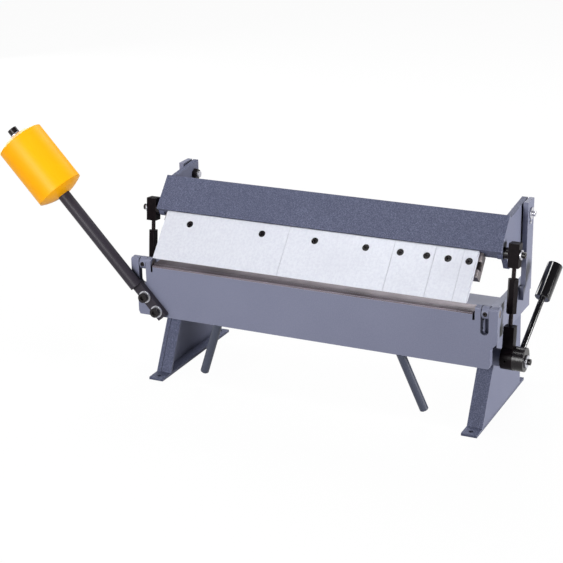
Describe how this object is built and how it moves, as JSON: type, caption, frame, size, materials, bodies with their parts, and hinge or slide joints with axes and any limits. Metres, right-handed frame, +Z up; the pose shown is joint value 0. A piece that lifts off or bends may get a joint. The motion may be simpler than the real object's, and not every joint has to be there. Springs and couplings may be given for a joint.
{
  "type": "box and pan brake",
  "caption": "Bench box and pan brake: hinged apron with counterweight, tilting clamp leaf with removable fingers, and a cam handle that clamps it through side links.",
  "frame": {"origin": "centre of the four foot bolt holes, on the plane that the feet stand on", "axes": "+X to the machine's right along the bed, +Y to the rear, +Z up; the apron faces -Y"},
  "size_m": [1.0179, 0.3285, 0.4771],
  "materials": {
    "hammer_paint": "hammertone, semi-gloss",
    "smooth_paint": "semi-gloss",
    "rod_paint": "semi-gloss",
    "ground_steel": "ground, satin",
    "bare_steel": "machined, satin",
    "edge_steel": "oiled, satin",
    "link_steel": "oiled black oxide",
    "black_oxide": "black oxide",
    "black_gloss": "glossy",
    "zinc_plate": "bright zinc",
    "yellow_paint": "satin",
    "arm_paint": "satin",
    "grip_plastic": "glossy"
  },
  "bodies": {
    "frame": {"leg_right": "hammer_paint", "leg_left": "hammer_paint", "side_plate_right": "smooth_paint", "side_plate_left": "smooth_paint", "post_right": "smooth_paint", "post_left": "smooth_paint", "bed": "smooth_paint", "edge_bar": "edge_steel", "hinge_pin_right": "bare_steel", "hinge_pin_left": "bare_steel", "hinge_screw_right": "black_oxide", "hinge_screw_left": "black_oxide", "pivot_bolt_right": "zinc_plate", "pivot_bolt_left": "zinc_plate", "pivot_nut_right": "black_oxide", "pivot_nut_left": "black_oxide", "shaft_bearing_right": "smooth_paint", "shaft_bearing_left": "smooth_paint"},
    "apron": {"apron": "smooth_paint", "apron_strip": "edge_steel", "bending_handle_right": "rod_paint", "bending_handle_left": "rod_paint", "weight_arm": "arm_paint", "arm_bolts": "black_oxide", "arm_washers": "zinc_plate", "counterweight": "yellow_paint", "weight_washer": "zinc_plate", "weight_bolt": "black_oxide"},
    "leaf": {"clamp_beam": "hammer_paint", "cheek_right": "hammer_paint", "cheek_left": "hammer_paint", "finger_bar": "bare_steel", "finger_1": "ground_steel", "finger_2": "ground_steel", "finger_3": "ground_steel", "finger_4": "ground_steel", "finger_5": "ground_steel", "saddle_1": "bare_steel", "saddle_2": "bare_steel", "saddle_3": "bare_steel", "saddle_4": "bare_steel", "saddle_5": "bare_steel", "finger_screws": "black_oxide", "link_bolt_right": "black_oxide", "link_bolt_left": "black_oxide"},
    "right_link": {"link_block_right": "link_steel", "link_stud_right": "link_steel", "link_end_right": "link_steel"},
    "left_link": {"link_block_left": "link_steel", "link_stud_left": "link_steel", "link_end_left": "link_steel"},
    "right_turnbuckle": {"turnbuckle_right": "link_steel"},
    "left_turnbuckle": {"turnbuckle_left": "link_steel"},
    "clamp": {"clamp_shaft": "bare_steel", "eccentric_right": "black_oxide", "eccentric_left": "black_oxide", "end_bolt_right": "black_oxide", "end_bolt_left": "black_oxide", "lever": "black_gloss", "grip": "grip_plastic"}
  },
  "joints": [
    {"name": "apron_swing", "type": "hinge", "parent": "frame", "child": "apron", "pos_m": [0, -0.1205, 0.229], "axis": [-1, 0, 0], "range_deg": [0, 90]},
    {"name": "clamp_handle", "type": "hinge", "parent": "frame", "child": "clamp", "pos_m": [0, -0.0606, 0.1241], "axis": [1, 0, 0], "range_deg": [0, 100]},
    {"name": "leaf_tilt", "type": "hinge", "parent": "frame", "child": "leaf", "pos_m": [0, 0.0668, 0.3515], "axis": [1, 0, 0], "range_deg": [0, 3.56]},
    {"name": "right_link_swing", "type": "hinge", "parent": "leaf", "child": "right_link", "pos_m": [0.3545, -0.0435, 0.311], "axis": [1, 0, 0], "range_deg": [-4.94, 0]},
    {"name": "left_link_swing", "type": "hinge", "parent": "leaf", "child": "left_link", "pos_m": [-0.3545, -0.0435, 0.311], "axis": [1, 0, 0], "range_deg": [-4.94, 0]},
    {"name": "right_turnbuckle_turn", "type": "hinge", "parent": "right_link", "child": "right_turnbuckle", "pos_m": [0.3545, -0.05068, 0.24137], "axis": [0, 0.1025, 0.9947], "continuous": true},
    {"name": "left_turnbuckle_turn", "type": "hinge", "parent": "left_link", "child": "left_turnbuckle", "pos_m": [-0.3545, -0.05068, 0.24137], "axis": [0, 0.1025, 0.9947], "continuous": true}
  ],
  "couplings": [
    {"joint": "leaf_tilt", "follows": "clamp_handle", "ratio": 0.0356},
    {"joint": "right_link_swing", "follows": "clamp_handle", "ratio": -0.0494},
    {"joint": "left_link_swing", "follows": "clamp_handle", "ratio": -0.0494}
  ]
}
